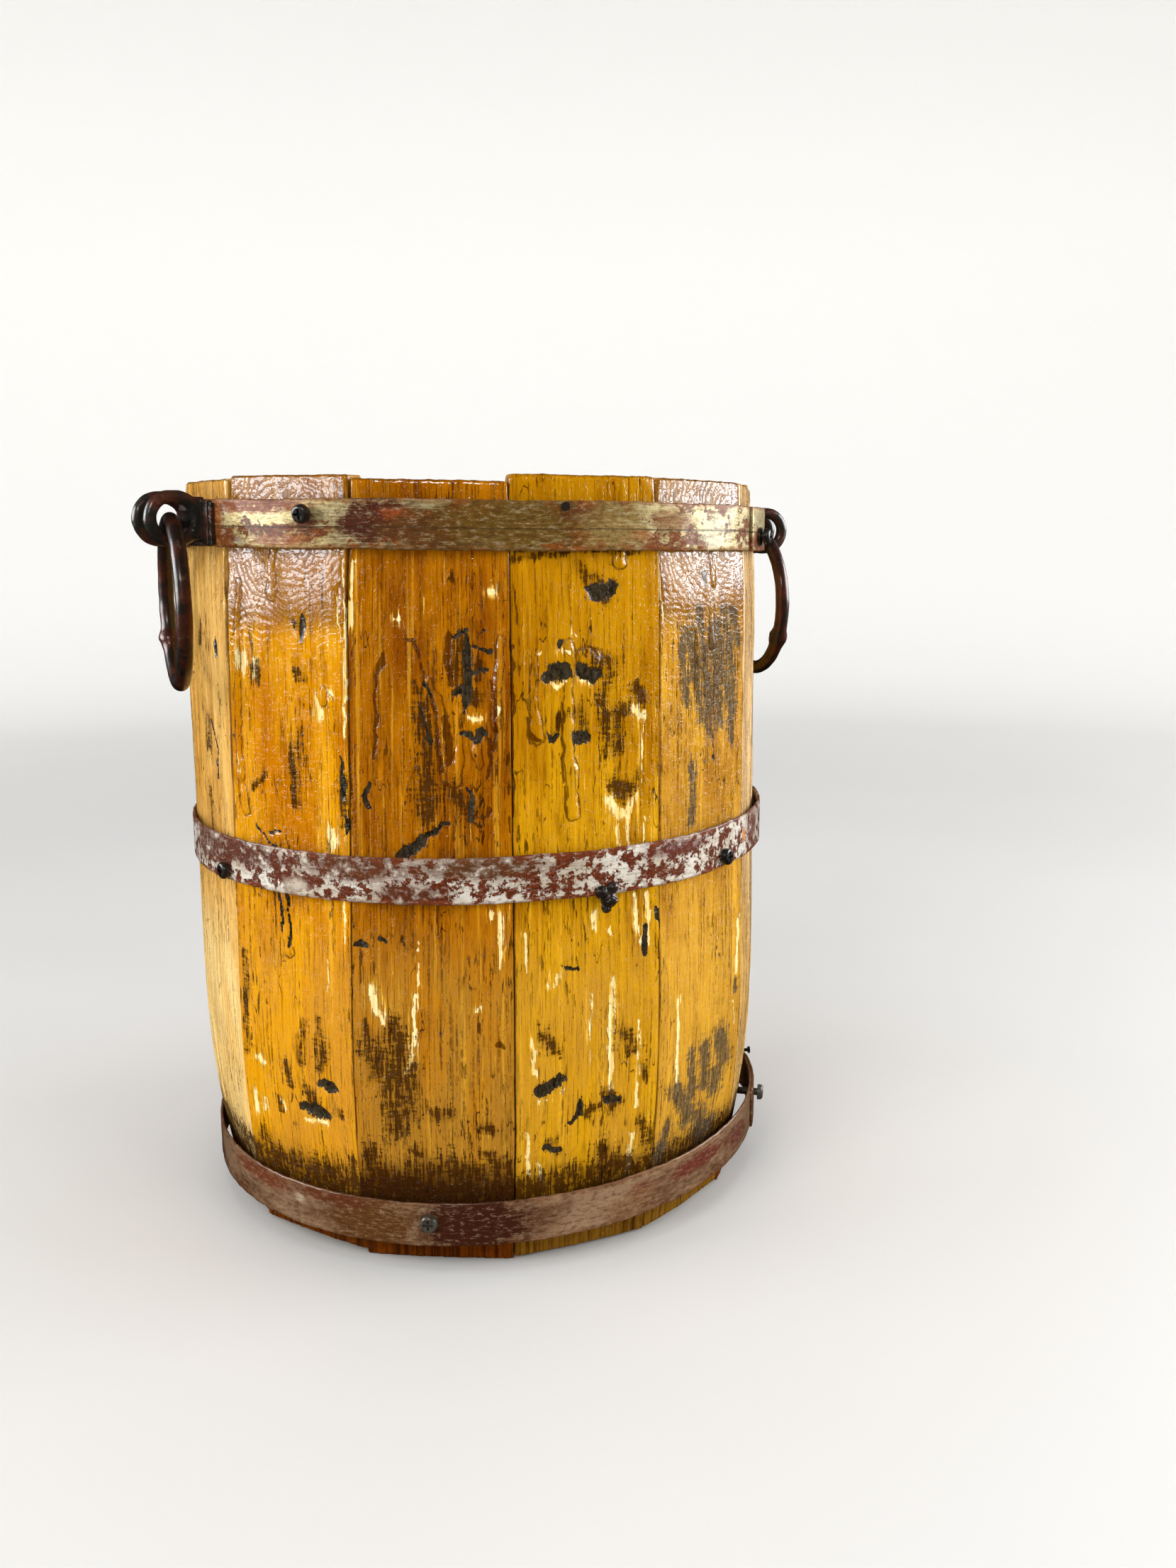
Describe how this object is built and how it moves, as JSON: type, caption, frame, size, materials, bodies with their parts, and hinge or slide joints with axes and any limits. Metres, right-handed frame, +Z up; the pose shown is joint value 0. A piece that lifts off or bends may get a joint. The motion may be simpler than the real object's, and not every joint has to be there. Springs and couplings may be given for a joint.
{
  "type": "butter churn",
  "caption": "Open-topped coopered wooden churn tub with iron hoops and a swinging iron ring handle in a double eye on each side.",
  "frame": {"origin": "centre of the tub's base, on the surface that it stands on", "axes": "+Z up along the tub's axis, -Y towards the front, +X towards the right-hand ring handle"},
  "size_m": [0.3454, 0.315, 0.3814],
  "materials": {
    "stave_wood": "thick glossy amber varnish over worn pine, with dark residue",
    "bottom_wood": "dull dark worn pine",
    "hoop_iron": "dull weathered strap with rust patches",
    "black_iron": "blackened forged iron, satin, a little rust",
    "screw_black": "blackened screws and nails"
  },
  "bodies": {
    "tub": {"stave_01": "stave_wood", "stave_02": "stave_wood", "stave_03": "stave_wood", "stave_04": "stave_wood", "stave_05": "stave_wood", "stave_06": "stave_wood", "stave_07": "stave_wood", "stave_08": "stave_wood", "stave_09": "stave_wood", "stave_10": "stave_wood", "stave_11": "stave_wood", "stave_12": "stave_wood", "stave_13": "stave_wood", "bottom_board_1": "bottom_wood", "bottom_board_2": "bottom_wood", "bottom_board_3": "bottom_wood", "bottom_board_4": "bottom_wood", "bottom_dowels": "bottom_wood", "top_hoop": "hoop_iron", "middle_hoop": "hoop_iron", "bottom_hoop": "hoop_iron", "top_hoop_screws": "screw_black", "middle_hoop_screws": "screw_black", "bottom_hoop_screws": "screw_black", "lap_washer": "screw_black", "hoop_nails": "screw_black", "weld_slag": "screw_black", "left_eye": "black_iron", "left_eye_welds": "black_iron", "right_eye": "black_iron", "right_eye_welds": "black_iron"},
    "left_handle": {"left_ring": "black_iron"},
    "right_handle": {"right_ring": "black_iron"}
  },
  "joints": [
    {"name": "left_ring_swing", "type": "hinge", "parent": "tub", "child": "left_handle", "pos_m": [-0.14485, -0.09051, 0.3608], "axis": [-0.3007, 0.9537, 0], "range_deg": [-5, 195]},
    {"name": "right_ring_swing", "type": "hinge", "parent": "tub", "child": "right_handle", "pos_m": [0.16459, 0.04256, 0.3519], "axis": [0.225, -0.9744, 0], "range_deg": [-6, 200]}
  ]
}
